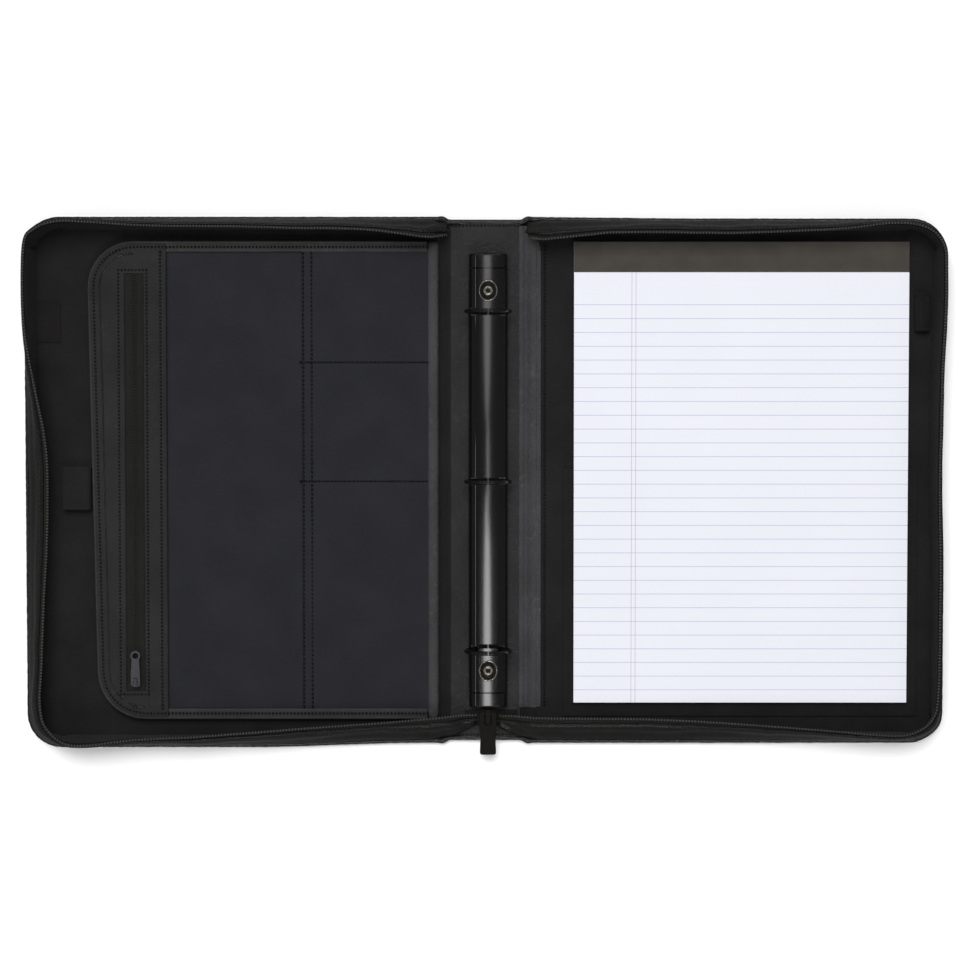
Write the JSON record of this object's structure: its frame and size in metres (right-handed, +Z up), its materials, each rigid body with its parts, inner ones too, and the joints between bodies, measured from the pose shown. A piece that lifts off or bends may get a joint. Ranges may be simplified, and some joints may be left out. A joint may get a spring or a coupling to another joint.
{
  "type": "zippered ring binder portfolio case",
  "caption": "Open zip-round portfolio case in black leatherette with a snap ring binder on its spine, a pocket organizer in the front cover and a ruled writing pad in the back cover.",
  "frame": {"origin": "middle of the spine's underside, which is the middle of the open case where it lies on the table", "axes": "+Z up off the table, +Y towards the top of the pages, +X towards the back cover that holds the writing pad; the front cover with the organizer is on -X"},
  "size_m": [0.59, 0.3447, 0.0335],
  "materials": {
    "cover_leather": "black grained leatherette",
    "foam": "thin padding foam",
    "board": "grey board stiffener",
    "lining": "black woven lining",
    "zip_tape": "woven zip tape",
    "zip_teeth": "nylon coil",
    "nylon": "blue-black coated nylon",
    "ring_metal": "gloss black",
    "rivet_metal": "gloss black with bright rim",
    "pin_steel": "plain steel",
    "zip_metal": "black nickel",
    "paper": "white ruled paper",
    "card": "grey-brown pad back",
    "header": "dark taupe header band"
  },
  "bodies": {
    "spine": {"spine_skin": "cover_leather", "spine_board": "board", "spine_lining": "cover_leather", "spine_binding": "cover_leather", "ring_cover_plate": "ring_metal", "plate_rivets": "rivet_metal", "lever_pin_top": "pin_steel", "lever_pin_bottom": "pin_steel", "zip_slider": "zip_metal", "zip_tail": "zip_tape"},
    "front_cover": {"front_skin": "cover_leather", "front_foam": "foam", "front_board": "board", "front_lining": "lining", "front_binding": "cover_leather", "front_gusset": "cover_leather", "front_zip_tape": "zip_tape", "front_zip_teeth": "zip_teeth", "organizer_back": "cover_leather", "organizer_padding": "foam", "organizer_band": "cover_leather", "organizer_border_top": "cover_leather", "organizer_border_bottom": "cover_leather", "organizer_piping": "cover_leather", "card_pocket_top": "nylon", "card_pocket_middle": "nylon", "card_pocket_bottom": "nylon", "nylon_panel": "nylon", "pocket_bag": "nylon", "pocket_zip_tape": "zip_tape", "pocket_zip_coil": "zip_teeth", "pen_loop_front": "cover_leather", "elastic_patch": "lining"},
    "back_cover": {"back_skin": "cover_leather", "back_foam": "foam", "back_board": "board", "back_lining": "lining", "back_binding": "cover_leather", "back_gusset": "cover_leather", "back_zip_tape": "zip_tape", "back_zip_teeth": "zip_teeth", "spine_wing": "cover_leather", "pen_loop_back": "lining", "pad_backing": "card", "pad_pocket": "lining", "paper_block": "paper", "pad_header": "header"},
    "rings_right": {"blade_right": "pin_steel", "half_rings_right": "ring_metal"},
    "rings_left": {"blade_left": "pin_steel", "half_rings_left": "ring_metal"},
    "lever_top": {"lever_top": "ring_metal"},
    "lever_bottom": {"lever_bottom": "ring_metal"},
    "zip_pull": {"zip_pull": "zip_metal"},
    "pocket_slider": {"pocket_zip_slider": "zip_metal"},
    "pocket_pull": {"pocket_zip_pull": "zip_metal"},
    "page": {"top_page": "paper"}
  },
  "joints": [
    {"name": "front_cover_fold", "type": "hinge", "parent": "spine", "child": "front_cover", "pos_m": [-0.027, 0, 0], "axis": [0, 1, 0], "range_deg": [0, 90]},
    {"name": "back_cover_fold", "type": "hinge", "parent": "spine", "child": "back_cover", "pos_m": [0.027, 0, 0], "axis": [0, -1, 0], "range_deg": [0, 90]},
    {"name": "ring_snap_right", "type": "hinge", "parent": "spine", "child": "rings_right", "pos_m": [0.0131, 0.0015, 0.0056], "axis": [0, 1, 0], "range_deg": [0, 13]},
    {"name": "ring_snap_left", "type": "hinge", "parent": "spine", "child": "rings_left", "pos_m": [-0.0091, 0.0015, 0.0056], "axis": [0, 1, 0], "range_deg": [-13, 0]},
    {"name": "lever_top_tilt", "type": "hinge", "parent": "spine", "child": "lever_top", "pos_m": [0.002, 0.135, 0.0072], "axis": [-1, 0, 0], "range_deg": [0, 15]},
    {"name": "lever_bottom_tilt", "type": "hinge", "parent": "spine", "child": "lever_bottom", "pos_m": [0.002, -0.132, 0.0072], "axis": [1, 0, 0], "range_deg": [0, 15]},
    {"name": "zip_pull_swing", "type": "hinge", "parent": "spine", "child": "zip_pull", "pos_m": [0.0019, -0.1472, 0.0093], "axis": [-1, 0, 0], "range_deg": [0, 130]},
    {"name": "pocket_zip_slide", "type": "slide", "parent": "front_cover", "child": "pocket_slider", "axis": [0, 1, 0], "range_m": [0, 0.25]},
    {"name": "pocket_pull_swing", "type": "hinge", "parent": "pocket_slider", "child": "pocket_pull", "pos_m": [-0.2238, -0.129, 0.01106], "axis": [1, 0, 0], "range_deg": [0, 170]},
    {"name": "page_turn", "type": "hinge", "parent": "back_cover", "child": "page", "pos_m": [0.1635, 0.1345, 0.00895], "axis": [1, 0, 0], "range_deg": [-125, 0]}
  ],
  "couplings": [
    {"joint": "ring_snap_left", "follows": "ring_snap_right", "ratio": -1},
    {"joint": "lever_top_tilt", "follows": "ring_snap_right", "ratio": 1.1538},
    {"joint": "lever_bottom_tilt", "follows": "ring_snap_right", "ratio": 1.1538}
  ]
}
